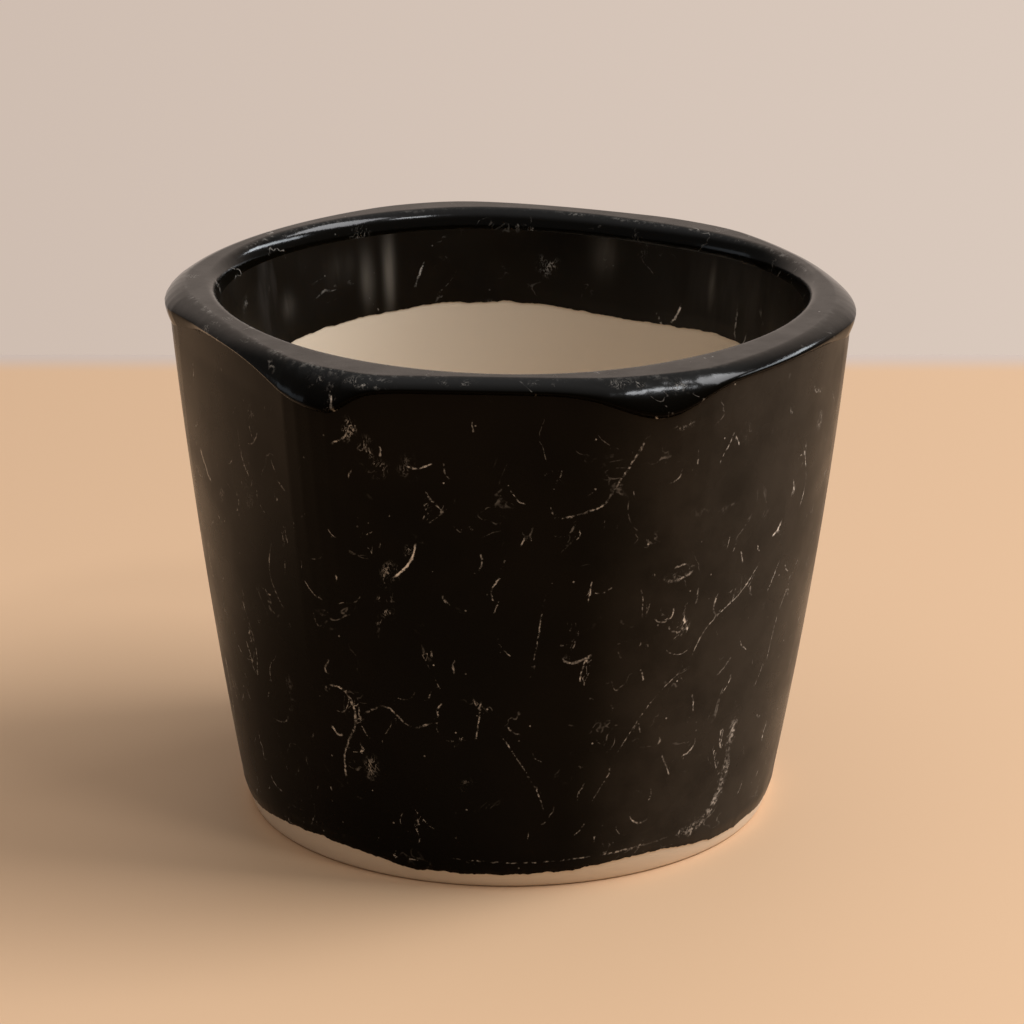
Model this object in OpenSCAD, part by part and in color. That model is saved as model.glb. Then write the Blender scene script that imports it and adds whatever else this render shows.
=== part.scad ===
// Hand-built clay pot with a thin black coat.
// A round floor slab carries three wall courses, each lapped on the one below, and a rolled
// rim coil. A soft coil closes the corner between floor and wall. The black coat covers the
// outside down to just above the foot, the rim, and the top of the inside.
// Seen from above, the mouth is a soft hexagon that fades down the wall into a round foot.
// Origin: middle of the flat face that the pot rests on. +Z is up, -Y is the front.

/* [Foot and floor] */
// Radius of the flat face that the pot rests on
rest_r = 49.8; // [46:0.1:50.5]
// Radius of the clay foot where the wall starts
foot_r = 51.8; // [51.5:0.1:53]
// Height of the rounded edge under the wall
foot_h = 6.4; // [5:0.1:6.8]
// Thickness of the floor inside the pot
floor_t = 9; // [8.5:0.1:11]
// Inside radius of the pot at the floor
floor_in_r = 43.5; // [42.5:0.1:44.5]
// Height of the ledge on the slab that the wall stands on
ledge_z = 7; // [6.9:0.1:8]
// Radius of the raised middle of the slab, inside the wall
step_r = 42; // [40:0.5:42]

/* [Rim] */
// Height of the rim above the table
rim_h = 101.5; // [101:0.5:105]
// Directions of the six corners, counter-clockwise from the front left
corner_angle = [-120, -66, -4, 53, 106, 178]; // [-180:1:180]
// Distances of the corners from the middle of the mouth
corner_r = [70, 69, 66, 68.5, 67, 67.5]; // [65:0.5:71]
// Flatness of the face after each corner, from 0 for round to 1 for straight
face_flat = [0.95, 0.3, 0.45, 0.5, 0.25, 0.75]; // [0:0.05:1]
// How far the rim rises at each corner
corner_rise = [0.2, 0, -0.4, -0.9, 1.0, 0.6]; // [-1.2:0.1:1.2]
// How much deeper the fold of the rim hangs under each corner
corner_fold = [4.7, 4.6, 3.9, 1.8, 1.4, 4.7]; // [0:0.1:5]
// Height of the fold of the rim between corners
fold_h = 2.7; // [2:0.1:4]
// Angle over which the deeper fold builds up before each corner
fold_before = [14, 9, 16, 8, 8, 16]; // [5:1:18]
// Angle over which the deeper fold dies away after each corner
fold_after = [5, 8, 16, 8, 8, 16]; // [5:1:18]
// How much higher the tucked-in lower part of the fold is at each corner
corner_tuck = [0, 0.4, 3, 0.6, 0.6, 3]; // [0:0.1:3.4]
// Height of the tucked-in lower part of the fold between corners
tuck_h = 0.8; // [0.5:0.1:1.2]
// Width of the outer roll of the rim
roll_w = 3.2; // [2:0.1:3.4]
// Flatness of the outer roll's middle, from 1 for a quarter ellipse to 2 for a bevel
roll_bevel = 1.4; // [1:0.1:1.8]
// Least width of the flat top between the outer and the inner roll
flat_w = 0.8; // [0.5:0.1:1.5]
// Angle over which each corner is rounded
corner_round = 18; // [12:1:24]

/* [Mouth] */
// Mean radius of the opening inside the rim
mouth_r = 55.4; // [54:0.1:56]
// Depth of the three soft lobes of the opening
mouth_lobe = 1.2; // [0:0.1:1.5]
// Direction of the first lobe
mouth_lobe_angle = 32; // [0:1:120]
// How far the opening is off centre in the rim
mouth_shift = 1.2; // [0:0.1:1.5]
// Direction in which the opening is off centre
mouth_shift_angle = 72; // [0:1:360]
// Width of the inner roll of the rim
inner_roll_w = 2.6; // [2:0.1:3.5]
// Height of the inner roll of the rim
inner_roll_h = 4; // [3:0.1:5]
// How far the mouth stands to the right of the foot
mouth_offset = 0.65; // [-1:0.1:1]

/* [Wall] */
// Height at which the wall reaches its full soft hexagon
shoulder_z = 93; // [90:0.5:94]
// How far the wall stands back from the rim at that height
shoulder_back = 1.25; // [0.8:0.05:1.5]
// Outward swell of the wall between foot and shoulder
swell = 0.37; // [0:0.01:0.4]
// How fast the hexagon fades down the wall
fade = 1.65; // [1.2:0.05:2]
// Mean heights of the three joints between wall courses and rim coil
joint_z = [36, 62, 87]; // [30:1:88]
// Height over which a joint slopes down towards the inside
lap = 6; // [3:0.5:7]
// Radius of the soft coil in the corner between floor and wall
seam_r = 8; // [5:0.5:9]

/* [Coat] */
// Thickness of the black coat
coat_t = 0.4; // [0.3:0.05:0.5]
// Thickness of the coat at its ragged edges
coat_edge_t = 0.14; // [0.1:0.02:0.2]
// Height over which the coat thins towards an edge
coat_taper = 2.4; // [1.5:0.1:2.6]
// Mean height of the coat's lower edge on the outside
coat_low = 3.1; // [2.8:0.1:3.4]
// Mean height of the coat's lower edge on the inside
band_low = 80.3; // [78:0.1:84]

/* [Hidden] */
$fn = 144;
clay_colour = [0.85, 0.76, 0.64];
clay_shade = [0.80, 0.70, 0.57];
rim_clay_colour = [0.76, 0.66, 0.54];
coat_colour = [0.10, 0.085, 0.075];
rim_coat_colour = [0.16, 0.145, 0.135];
corners = len(corner_angle);
columns = 72;
step = 360 / columns;
dirs = [for (i = [0:columns - 1]) i * step - 180];
lip = 0.25;
tuck_steps = 3;
outer_roll_steps = 7;
inner_roll_steps = 5;

// Blends and angles.
function lerp(a, b, u) = a + (b - a) * u;
function ease(u) = u * u * (3 - 2 * u);
function wrap(d) = (d + 900) % 360 - 180;
function bell(d, w) = exp(-pow(wrap(d) / w, 2));
function mean(v) = v * [for (x = v) 1] / len(v);
function from_first(a) =
    a < corner_angle[0] ? from_first(a + 360)
    : a >= corner_angle[0] + 360 ? from_first(a - 360)
    : a;
function face_at(a) = max([for (k = [0:corners - 1]) if (corner_angle[k] <= a) k]);
function face_end(k) = k < corners - 1 ? corner_angle[k + 1] : corner_angle[0] + 360;

// Outline of the rim from above: each face runs from an even arc to a straight chord.
function sharp_plan(d) =
    let (
        a = from_first(d),
        k = face_at(a),
        a0 = corner_angle[k],
        a1 = face_end(k),
        r0 = corner_r[k],
        r1 = corner_r[(k + 1) % corners],
        arc = lerp(r0, r1, ease((a - a0) / (a1 - a0))),
        chord = r0 * r1 * sin(a1 - a0) / (r0 * sin(a - a0) + r1 * sin(a1 - a))
    )
    lerp(arc, chord, face_flat[k]);
// The corners are rounded by a moving mean.
function plan(d) = mean([for (o = [-3:3]) sharp_plan(d + o * corner_round / 6)]);
function rise(d) =
    let (a = from_first(d), k = face_at(a), a0 = corner_angle[k])
    lerp(corner_rise[k], corner_rise[(k + 1) % corners], ease((a - a0) / (face_end(k) - a0)));
// Each corner's share in a direction, over a narrow or wide bump on either side of it.
function near_corners(d) = [
    for (k = [0:corners - 1])
    let (off = wrap(d - corner_angle[k]))
    bell(off, off < 0 ? fold_before[k] : fold_after[k])
];
function fold(d) = fold_h + corner_fold * near_corners(d);
function tuck(d) = tuck_h + corner_tuck * near_corners(d);
function mouth(d) =
    mouth_r
    + mouth_lobe * cos(3 * (d - mouth_lobe_angle))
    + mouth_shift * cos(d - mouth_shift_angle);

// Ragged edges of the coat: two low scallops at the front and a slow ripple all round.
function coat_edge(d) =
    coat_low
    + 1.9 * bell(d + 135, 17)
    + 1.2 * bell(d + 62, 13)
    + 0.8 * bell(d - 95, 30)
    + 0.25 * sin(5 * d + 40)
    + 0.15 * sin(11 * d);
function band_edge(d) =
    band_low
    + 2 * bell(d - 98, 24)
    + 1.1 * cos(d - 100)
    + 0.35 * sin(4 * d)
    + 0.2 * sin(9 * d + 50);

// The same values for every column of the rings.
plans = [for (d = dirs) plan(d)];
plan_mean = mean(plans);
tops = [for (d = dirs) rim_h + rise(d)];
folds = [for (d = dirs) fold(d)];
tucks = [for (d = dirs) tuck(d)];
mouths = [for (d = dirs) mouth(d)];

// Wall surfaces, as a radius at column i and height z.
function outside(i, z) =
    let (
        t = (z - foot_h) / (shoulder_z - foot_h),
        start = foot_r + coat_t,
        full = plan_mean - shoulder_back
    )
    lerp(start, full, t + swell * t * (1 - t))
        + (plans[i] - plan_mean) * pow(min(max(t, 0), 1), fade);
function inside(i, z) =
    let (t = (z - floor_t) / (rim_h - inner_roll_h - floor_t))
    lerp(floor_in_r, mouth_r + coat_t, t + swell * t * (1 - t))
        + (mouths[i] - mouth_r) * pow(min(max(t, 0), 1), fade);
function clay_out(i, z) = outside(i, z) - coat_t;
function foot_curve(z) =
    let (u = 1 - z / foot_h)
    lerp(rest_r + lip, foot_r, pow(1 - pow(u, 1.3), 1 / 1.3));
function clay_low(i, z) = z < foot_h ? foot_curve(z) : clay_out(i, z);

// Section of the rim from the crease, up the tucked-in part of the fold, over the top, to the
// end of the inner roll. s is how far the line lies below the finished surface.
function rim_section(i, s) =
    let (
        top = tops[i],
        f = folds[i],
        h = f - tucks[i],
        throat = inside(i, top - inner_roll_h) - coat_t,
        room = plans[i] - throat - inner_roll_w - flat_w,
        w = min(roll_w + 0.2 * (f - fold_h), room),
        crease = [
            for (k = [0:tuck_steps - 1])
            let (u = 1 - k / tuck_steps)
            [lerp(plans[i], outside(i, top - f), pow(u, 1.5)) - s, top - lerp(h, f, u)]
        ],
        outer = [
            for (k = [0:outer_roll_steps])
            let (
                u = 90 * k / outer_roll_steps,
                across = pow(cos(u), roll_bevel),
                up = pow(sin(u), roll_bevel)
            )
            [plans[i] - w + (w - s) * across, top - h + (h - s) * up]
        ],
        inner = [
            for (k = [0:inner_roll_steps])
            let (u = 90 * k / inner_roll_steps)
            [
                throat + inner_roll_w - (inner_roll_w - s) * sin(u),
                top - inner_roll_h + (inner_roll_h - s) * cos(u)
            ]
        ]
    )
    concat(crease, outer, inner);
function reversed(v) = [for (k = [len(v) - 1:-1:0]) v[k]];

// A closed ring: one loop of [radius, height] points per column, each loop anticlockwise.
// Above the floor, the ring moves sideways with the mouth.
function sideways(z) = mouth_offset * min(max((z - floor_t) / (shoulder_z - floor_t), 0), 1);
module ring(loops) {
    m = len(loops[0]);
    points = [
        for (i = [0:columns - 1])
        for (p = loops[i])
        [p[0] * cos(dirs[i]) + sideways(p[1]), p[0] * sin(dirs[i]), p[1]]
    ];
    quads = [
        for (i = [0:columns - 1])
        for (j = [0:m - 1])
        let (n = (i + 1) % columns, k = (j + 1) % m)
        [i * m + j, i * m + k, n * m + k, n * m + j]
    ];
    faces = [for (q = quads) each [[q[0], q[1], q[2]], [q[0], q[2], q[3]]]];
    polyhedron(points = points, faces = faces, convexity = 6);
}

// One wall course between a lower and an upper joint, both sloping down to the inside.
function levels(low, high, steps) = [for (k = [0:steps]) lerp(low, high, k / steps)];
function course(i, low, high) = concat(
    [for (z = levels(low + lap / 2, high + lap / 2, 4)) [clay_out(i, z), z]],
    [for (z = levels(high - lap / 2, low - lap / 2, 4)) [inside(i, z), z]]
);

// Clay pieces.
module floor_slab() {
    color(clay_colour)
    rotate_extrude()
    polygon(concat(
        [[0, 0], [rest_r, 0]],
        [for (z = levels(0.3, foot_h, 8)) [foot_curve(z), z]],
        [[clay_out(0, ledge_z), ledge_z], [step_r, ledge_z], [step_r, floor_t], [0, floor_t]]
    ));
}

module wall_lower_course() {
    clear_r = step_r / cos(step / 2);
    high = joint_z[0];
    color(clay_shade)
    ring([
        for (i = [0:columns - 1])
        concat(
            [[clear_r, ledge_z]],
            [for (z = levels(ledge_z, high + lap / 2, 5)) [clay_out(i, z), z]],
            [for (z = levels(high - lap / 2, floor_t, 4)) [inside(i, z), z]],
            [[clear_r, floor_t]]
        )
    ]);
}

module wall_middle_course() {
    color(clay_colour)
    ring([for (i = [0:columns - 1]) course(i, joint_z[0], joint_z[1])]);
}

module wall_upper_course() {
    color(clay_shade)
    ring([for (i = [0:columns - 1]) course(i, joint_z[1], joint_z[2])]);
}

module rim_coil() {
    low = joint_z[2];
    color(rim_clay_colour)
    ring([
        for (i = [0:columns - 1])
        concat(
            [[clay_out(i, low + lap / 2), low + lap / 2]],
            rim_section(i, coat_t),
            [[inside(i, low - lap / 2), low - lap / 2]]
        )
    ]);
}

// The corner coil is smoothed by a finger into a hollow quarter round with thin lips.
module seam_coil() {
    wall_z = floor_t + seam_r;
    color(clay_colour)
    ring([
        for (i = [0:columns - 1])
        let (wall_r = inside(i, wall_z), floor_r = floor_in_r - seam_r)
        concat(
            [[floor_r, floor_t], [floor_in_r, floor_t]],
            [for (z = levels(floor_t + seam_r / 2, wall_z, 1)) [inside(i, z), z]],
            [
                for (u = [0:18:90])
                [lerp(floor_r, wall_r - lip, cos(u)), lerp(wall_z, floor_t + lip, sin(u))]
            ]
        )
    ]);
}

// Coat pieces. A coat thins towards its ragged edge.
function coat_at(height) = lerp(coat_edge_t, coat_t, min(max(height / coat_taper, 0), 1));

module outer_coat() {
    off_slab = 1 / cos(step / 2);
    color(coat_colour)
    ring([
        for (i = [0:columns - 1])
        let (
            low = coat_edge(dirs[i]),
            crease = tops[i] - folds[i],
            up = concat(
                [low, low + coat_taper / 3, low + coat_taper],
                levels(floor_t, crease, 8)
            )
        )
        concat(
            [for (z = up) [clay_low(i, z) * (z < floor_t ? off_slab : 1) + coat_at(z - low), z]],
            [for (z = reversed(up)) [clay_low(i, z) * (z < floor_t ? off_slab : 1), z]]
        )
    ]);
}

module rim_coat() {
    color(rim_coat_colour)
    ring([
        for (i = [0:columns - 1])
        concat(rim_section(i, 0), reversed(rim_section(i, coat_t)))
    ]);
}

module inner_coat() {
    color(coat_colour)
    ring([
        for (i = [0:columns - 1])
        let (
            high = tops[i] - inner_roll_h,
            low = band_edge(dirs[i]),
            down = [high, lerp(high, low, 0.4), low + coat_taper, low]
        )
        concat(
            [for (z = reversed(down)) [inside(i, z), z]],
            [for (z = down) [inside(i, z) - coat_at(z - low), z]]
        )
    ]);
}

floor_slab();
seam_coil();
wall_lower_course();
wall_middle_course();
wall_upper_course();
rim_coil();
outer_coat();
rim_coat();
inner_coat();
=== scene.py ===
"""Hand-built clay pot with a thin black coat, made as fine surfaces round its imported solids.

Laid out as an add-on and run as a script. Every piece is a closed ring or disc: a section of
radius and height, carried round the pot, with the radius a formula of direction and height.
Lengths are in metres and directions in degrees, anticlockwise from +X seen from above.
"""
import math

import bpy
import numpy as np
from bpy.props import FloatProperty, FloatVectorProperty, IntProperty, PointerProperty
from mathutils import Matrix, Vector


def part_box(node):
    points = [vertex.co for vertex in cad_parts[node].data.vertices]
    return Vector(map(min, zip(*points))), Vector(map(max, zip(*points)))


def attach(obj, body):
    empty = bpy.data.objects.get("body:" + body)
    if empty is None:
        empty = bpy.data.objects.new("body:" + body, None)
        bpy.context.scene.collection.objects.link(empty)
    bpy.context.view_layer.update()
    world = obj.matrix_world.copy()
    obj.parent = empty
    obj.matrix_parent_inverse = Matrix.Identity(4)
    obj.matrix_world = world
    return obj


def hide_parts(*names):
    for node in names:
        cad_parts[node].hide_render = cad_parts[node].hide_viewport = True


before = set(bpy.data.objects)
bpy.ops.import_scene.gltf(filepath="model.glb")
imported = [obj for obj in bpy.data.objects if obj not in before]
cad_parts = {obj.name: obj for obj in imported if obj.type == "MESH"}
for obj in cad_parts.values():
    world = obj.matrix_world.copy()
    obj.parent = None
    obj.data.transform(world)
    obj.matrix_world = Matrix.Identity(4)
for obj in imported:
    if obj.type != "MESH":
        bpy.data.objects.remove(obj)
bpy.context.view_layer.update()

bl_info = {
    "name": "Black-coated clay pot",
    "version": (1, 0, 0),
    "blender": (4, 5, 0),
    "location": "View3D > Sidebar > Pot",
    "description": "Builds a hand-built clay pot with a burnished black coat",
    "category": "Add Mesh",
}

MM = 0.001
FLOOR_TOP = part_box("floor_slab")[1].z
COLUMNS_OF_SOLIDS = 72


# Sizes and looks that a user would change

def length(name, description, millimetres):
    """A size, its default given in millimetres."""
    return FloatProperty(
        name=name, description=description, default=millimetres * MM, unit="LENGTH", precision=4
    )


def numbers(name, description, default, unit="NONE"):
    """A row of numbers, one for each corner or joint."""
    return FloatVectorProperty(
        name=name, description=description, default=default, size=len(default), unit=unit
    )


def lengths(name, description, *millimetres):
    """A row of sizes, their defaults given in millimetres."""
    return numbers(name, description, tuple(size * MM for size in millimetres), "LENGTH")


def share(name, description, default):
    """A plain number."""
    return FloatProperty(name=name, description=description, default=default, precision=3)


def colour(name, description, default):
    """A linear colour."""
    return FloatVectorProperty(
        name=name, description=description, default=default, subtype="COLOR", min=0, max=1
    )


class PotShape(bpy.types.PropertyGroup):
    """Sizes of the clay body."""

    rest_radius: length("Rest radius", "Radius of the flat face the pot rests on", 49.8)
    foot_radius: length("Foot radius", "Radius of the clay where the wall starts", 51.8)
    foot_height: length("Foot height", "Height of the rounded foot edge", 6.4)
    floor_top: length("Floor top", "Height of the floor inside", FLOOR_TOP / MM)
    floor_inside: length("Floor inside radius", "Inside radius at the floor", 43.5)
    ledge: length("Ledge", "Height of the ledge the wall stands on", 7)
    step_radius: length("Step radius", "Radius of the slab's raised middle", 42)
    rim_height: length("Rim height", "Height of the rim above the table", 101.5)
    corner_angles: numbers(
        "Corner directions", "The rim's corners in degrees", (-120, -66, -4, 53, 106, 178)
    )
    corner_radii: lengths(
        "Corner radii", "Distances of the corners from the middle", 70, 69, 66, 68.5, 67, 67.5
    )
    face_flatness: numbers(
        "Face flatness", "Each face after its corner, 0 round and 1 straight",
        (0.95, 0.3, 0.45, 0.5, 0.25, 0.75),
    )
    corner_rises: lengths(
        "Corner rises", "How far the rim rises at each corner", 0.2, 0, -0.4, -0.9, 1.0, 0.6
    )
    corner_folds: lengths(
        "Corner folds", "How much deeper the fold hangs there", 4.7, 4.6, 3.9, 1.8, 1.4, 4.7
    )
    fold_height: length("Fold height", "Height of the rim's fold between corners", 2.7)
    fold_before: numbers(
        "Fold before", "Degrees over which it deepens before each corner", (14, 9, 16, 8, 8, 16)
    )
    fold_after: numbers(
        "Fold after", "Degrees over which it dies away after each corner", (5, 8, 16, 8, 8, 16)
    )
    corner_tucks: lengths(
        "Corner tucks", "Extra height of the fold's tucked-in part there", 0, 0.4, 3, 0.6, 0.6, 3
    )
    tuck_height: length("Tuck height", "Height of the fold's tucked-in lower part", 0.8)
    roll_width: length("Roll width", "Width of the rim's outer roll", 3.2)
    roll_bevel: share("Roll bevel", "Outer roll, 1 a quarter ellipse and 2 a bevel", 1.4)
    flat_width: length("Flat width", "Least width of the rim's flat top", 0.8)
    corner_rounding: share("Corner rounding", "Angle over which a corner is rounded", 18)
    mouth_radius: length("Mouth radius", "Mean radius of the opening", 55.4)
    mouth_lobe: length("Mouth lobes", "Depth of the opening's three lobes", 1.2)
    mouth_lobe_angle: share("Lobe direction", "Direction of the first lobe", 32)
    mouth_shift: length("Mouth shift", "How far the opening is off centre", 1.2)
    mouth_shift_angle: share("Shift direction", "Direction of that shift", 72)
    inner_roll_width: length("Inner roll width", "Width of the rim's inner roll", 2.6)
    inner_roll_height: length("Inner roll height", "Height of the inner roll", 4)
    mouth_offset: length("Mouth offset", "How far the mouth stands right of the foot", 0.65)
    shoulder_height: length("Shoulder", "Height where the hexagon is full", 93)
    shoulder_back: length("Shoulder set-back", "Wall behind the rim there", 1.25)
    swell: share("Swell", "Outward swell of the wall", 0.37)
    fade: share("Fade", "How fast the hexagon fades down the wall", 1.65)
    joint_heights: lengths("Joint heights", "Mean heights of the joints in the wall", 36, 62, 87)
    lap: length("Lap", "Height over which a joint slopes", 6)
    seam_radius: length("Seam radius", "Radius of the coil in the floor corner", 8)


class CoatLook(bpy.types.PropertyGroup):
    """Sizes and colours of the black coat."""

    thickness: length("Thickness", "Thickness of the coat", 0.4)
    edge_thickness: length("Edge thickness", "Thickness at a ragged edge", 0.14)
    taper: length("Taper", "Height over which the coat thins", 2.4)
    low: length("Lower edge", "Mean height of the outside edge", 3.1)
    band_low: length("Band edge", "Mean height of the inside edge", 80.3)
    seed: IntProperty(name="Seed", description="Seed of the random marks", default=7)
    black: colour("Black", "Coat in shade", (0.0017, 0.0012, 0.0005))
    brown: colour("Brown", "Coat where it is thin", (0.012, 0.008, 0.0045))
    worn: colour("Worn", "Grey of the worn rim", (0.022, 0.0185, 0.0155))
    # Painted light: a paler tint laid where the key light falls on the right of the wall, and a
    # painted reflection band at its left edge
    painted_light_tint: colour("Painted light tint", "Lighter tint painted on the right of the wall, with a painted reflection band at its left edge", (0.032, 0.026, 0.0195))
    # Painted light: this grey also paints soft highlights on the band and lightens its shaded right
    smear_and_painted_light: colour("Smears and painted light", "Grey smears, painted highlights and painted light on the inside band", (0.13, 0.115, 0.095))
    vein: colour("Vein", "Pale veins", (0.80, 0.73, 0.64))


class ClayLook(bpy.types.PropertyGroup):
    """Colours of the bare clay."""

    cream: colour("Cream", "Bare clay", (0.95, 0.84, 0.70))
    buff: colour("Buff", "Darker patches of the clay", (0.87, 0.73, 0.57))
    toasted: colour("Toasted", "Warmer clay at the foot", (0.92, 0.64, 0.40))
    speck: colour("Specks", "Fine specks in the clay", (0.24, 0.14, 0.08))


class StageLook(bpy.types.PropertyGroup):
    """Table, backdrop and light."""

    table: colour("Table", "Plain table top", (0.73, 0.475, 0.285))
    backdrop: colour("Backdrop", "Plain backdrop", (0.66, 0.55, 0.48))
    key_power: share("Key power", "Watts of the soft key light", 39)


# Shape formulas

def lerp(a, b, u):
    """The value a share u of the way from a to b."""
    return a + (b - a) * u


def ease(u):
    """A slow start and a slow end between 0 and 1."""
    return u * u * (3 - 2 * u)


def rise(value, start, width):
    """0 up to the start, easing to 1 over the width after it."""
    return ease(np.clip((value - start) / width, 0, 1))


def wrap(d):
    """The same direction, between -180 and 180."""
    return (d + 180) % 360 - 180


def bell(d, width):
    """A bump round direction 0 that dies away over width degrees."""
    return np.exp(-((wrap(d) / width) ** 2))


class Form:
    """The pot's surfaces as formulas of direction d in degrees and height z in metres."""

    def __init__(self, shape, coat):
        self.s = shape
        self.coat = coat
        self.angles = np.array(shape.corner_angles)
        self.radii = np.array(shape.corner_radii)
        self.flat = np.array(shape.face_flatness)
        self.rises = np.array(shape.corner_rises)
        self.mean_plan = self.plan(directions(COLUMNS_OF_SOLIDS)).mean()

    def face(self, d):
        """The corner before direction d, the one after it, and how far d is between them."""
        a = (d - self.angles[0]) % 360 + self.angles[0]
        k = np.searchsorted(self.angles, a, side="right") - 1
        n = (k + 1) % len(self.angles)
        start = self.angles[k]
        end = np.where(n == 0, self.angles[0] + 360, self.angles[n])
        return a, k, n, start, end

    def sharp_plan(self, d):
        """Each face runs from an eased arc between its corners' radii to their chord."""
        a, k, n, start, end = self.face(d)
        r0, r1 = self.radii[k], self.radii[n]
        arc = lerp(r0, r1, ease((a - start) / (end - start)))
        before, after = np.radians(a - start), np.radians(end - a)
        chord = r0 * r1 * np.sin(before + after) / (r0 * np.sin(before) + r1 * np.sin(after))
        return lerp(arc, chord, self.flat[k])

    def plan(self, d):
        """The rim seen from above: the sharp outline, its corners rounded by a moving mean."""
        offsets = np.linspace(-0.5, 0.5, 7) * self.s.corner_rounding
        return sum(self.sharp_plan(d + o) for o in offsets) / len(offsets)

    def top(self, d):
        """Height of the rim: corner rises joined by eased slopes."""
        a, k, n, start, end = self.face(d)
        rise = lerp(self.rises[k], self.rises[n], ease((a - start) / (end - start)))
        return self.s.rim_height + rise

    def near_corners(self, d, amounts):
        """Each corner's amount, over a bump with its own width on either side of it."""
        total = 0
        for k, amount in enumerate(amounts):
            off = wrap(d - self.angles[k])
            width = np.where(off < 0, self.s.fold_before[k], self.s.fold_after[k])
            total = total + amount * bell(off, width)
        return total

    def fold(self, d):
        """Height of the rim's outer fold: even, and deeper in a bump under each corner."""
        return self.s.fold_height + self.near_corners(d, self.s.corner_folds)

    def tuck(self, d):
        """Height of the fold's lower part, which draws in towards the crease."""
        return self.s.tuck_height + self.near_corners(d, self.s.corner_tucks)

    def mouth(self, d):
        """The opening: a circle with three lobes, shifted off centre."""
        s = self.s
        lobes = s.mouth_lobe * np.cos(np.radians(3 * (d - s.mouth_lobe_angle)))
        shift = s.mouth_shift * np.cos(np.radians(d - s.mouth_shift_angle))
        return s.mouth_radius + lobes + shift

    def outside(self, d, z):
        """Coated outside: foot to shoulder on a swelling line, the hexagon growing upwards."""
        s = self.s
        t = (z - s.foot_height) / (s.shoulder_height - s.foot_height)
        start = s.foot_radius + self.coat.thickness
        full = self.mean_plan - s.shoulder_back
        hexagon = (self.plan(d) - self.mean_plan) * np.clip(t, 0, 1) ** s.fade
        return lerp(start, full, t + s.swell * t * (1 - t)) + hexagon

    def inside(self, d, z):
        """Clay inside: floor to throat on a swelling line, the lobes growing upwards."""
        s = self.s
        t = (z - s.floor_top) / (s.rim_height - s.inner_roll_height - s.floor_top)
        throat = s.mouth_radius + self.coat.thickness
        lobes = (self.mouth(d) - s.mouth_radius) * np.clip(t, 0, 1) ** s.fade
        return lerp(s.floor_inside, throat, t + s.swell * t * (1 - t)) + lobes

    def clay_outside(self, d, z):
        """Clay under the coat, with the rounded edge of the foot at the bottom."""
        s = self.s
        u = np.clip(1 - z / s.foot_height, 0, 1)
        rounded = (1 - u**1.3) ** (1 / 1.3)
        foot = lerp(s.rest_radius + 0.25 * MM, s.foot_radius, rounded)
        return np.where(z < s.foot_height, foot, self.outside(d, z) - self.coat.thickness)

    def sideways(self, z):
        """The body leans evenly from the floor to the shoulder."""
        s = self.s
        t = np.clip((z - s.floor_top) / (s.shoulder_height - s.floor_top), 0, 1)
        return s.mouth_offset * t

    def coat_edge(self, d):
        """Lower edge of the coat outside: two scallops at the front and a slow ripple."""
        ripple = 0.25 * np.sin(np.radians(5 * d + 40)) + 0.15 * np.sin(np.radians(11 * d))
        scallops = 1.9 * bell(d + 135, 17) + 1.2 * bell(d + 62, 13) + 0.8 * bell(d - 95, 30)
        return self.coat.low + (ripple + scallops) * MM

    def band_edge(self, d):
        """Lower edge of the coat inside: a slow ripple, highest at the back."""
        slow = 1.1 * np.cos(np.radians(d - 100)) + 0.35 * np.sin(np.radians(4 * d))
        slow = slow + 2 * bell(d - 98, 24)
        return self.coat.band_low + (slow + 0.2 * np.sin(np.radians(9 * d + 50))) * MM

    def coat_at(self, height):
        """Thickness of the coat at a height above its ragged edge."""
        c = self.coat
        return lerp(c.edge_thickness, c.thickness, np.clip(height / c.taper, 0, 1))

    def rim_section(self, d, below, steps):
        """Rows of the rim from the crease over the top to the end of the inner roll.

        The fold's lower part draws in from the widest line to the crease as a power curve. The
        outer roll is a quarter ellipse flattened towards a bevel, and the inner one a quarter
        ellipse. The rows lie the distance below under the finished surface. The steps are
        those of tuck, outer roll, flat and inner roll.
        """
        s = self.s
        tuck_steps, outer_steps, flat_steps, inner_steps = steps
        top, fold, plan = self.top(d), self.fold(d), self.plan(d)
        height = fold - self.tuck(d)
        throat = self.inside(d, top - s.inner_roll_height) - self.coat.thickness
        room = plan - throat - s.inner_roll_width - s.flat_width
        width = np.minimum(s.roll_width + 0.2 * (fold - s.fold_height), room)
        crease = self.outside(d, top - fold)
        rows = []
        for u in np.linspace(1, 0, tuck_steps + 1)[:-1]:
            rows.append((lerp(plan, crease, u**1.5) - below, top - lerp(height, fold, u)))
        for u in np.linspace(0, math.pi / 2, outer_steps + 1):
            across, up = max(math.cos(u), 0) ** s.roll_bevel, math.sin(u) ** s.roll_bevel
            r = plan - width + (width - below) * across
            rows.append((r, top - height + (height - below) * up))
        outer_r, inner_r = plan - width, throat + s.inner_roll_width
        for u in np.linspace(0, 1, flat_steps + 1)[1:-1]:
            rows.append((lerp(outer_r, inner_r, u), top - below))
        for u in np.linspace(0, math.pi / 2, inner_steps + 1):
            r = inner_r - (s.inner_roll_width - below) * math.sin(u)
            z = top - s.inner_roll_height + (s.inner_roll_height - below) * math.cos(u)
            rows.append((r, z))
        return rows


def directions(columns):
    """Even directions round the pot, in degrees."""
    return np.arange(columns) * 360 / columns - 180


def set_up(context, columns):
    """The formulas for the sizes that are set now, their shape settings, and the directions."""
    form = Form(context.scene.pot_shape, context.scene.coat_look)
    return form, form.s, directions(columns)


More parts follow.
